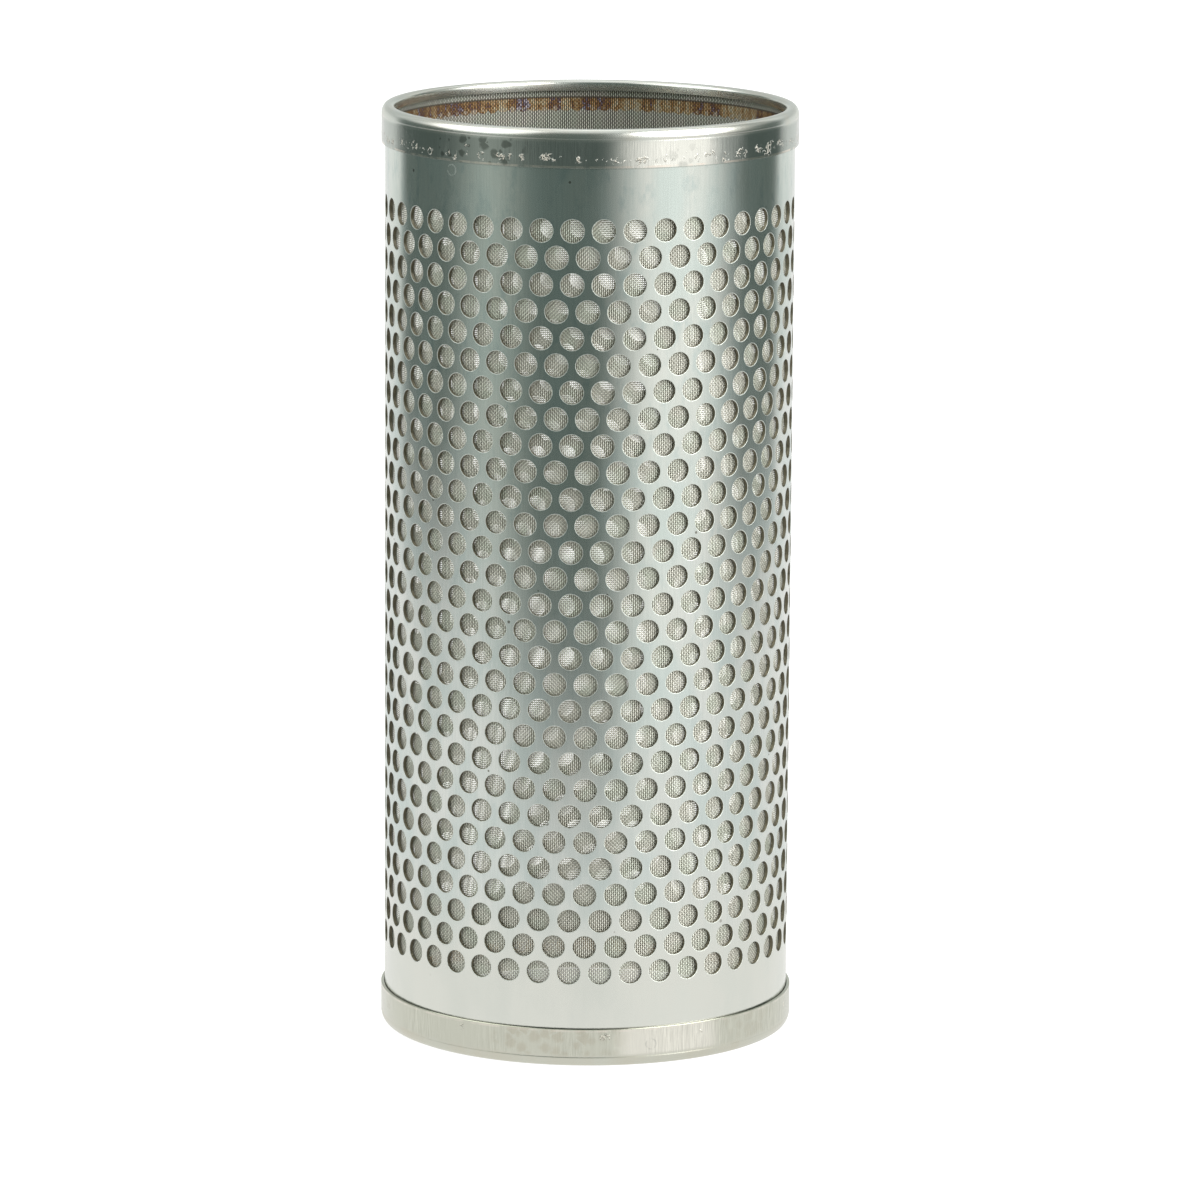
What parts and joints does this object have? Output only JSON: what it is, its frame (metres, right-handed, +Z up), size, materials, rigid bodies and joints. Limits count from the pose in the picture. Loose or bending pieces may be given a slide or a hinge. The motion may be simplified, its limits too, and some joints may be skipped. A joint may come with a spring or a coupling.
{
  "type": "line strainer",
  "caption": "Perforated steel tube lined with fine woven wire cloth, open right through, each end bound by a folded sheet ring.",
  "frame": {"origin": "centre of the bottom ring's flat end, on the tube's axis", "axes": "+Z up along the tube's axis, -Y towards the side that the picture shows, with the tube's welded seam 156 degrees from -Y towards +X"},
  "size_m": [0.0864, 0.0864, 0.1943],
  "materials": {
    "punched_sheet": "satin, lightly scratched, grey-green stainless sheet",
    "wire_cloth": "plain woven wire cloth, dull grey, heat-tinted along the weld near each end",
    "ring_sheet": "folded sheet with brushed faces, stains and small weld pits"
  },
  "bodies": {
    "root": {"perforated_tube": "punched_sheet", "mesh_liner": "wire_cloth", "bottom_ring": "ring_sheet", "top_ring": "ring_sheet"}
  },
  "joints": []
}
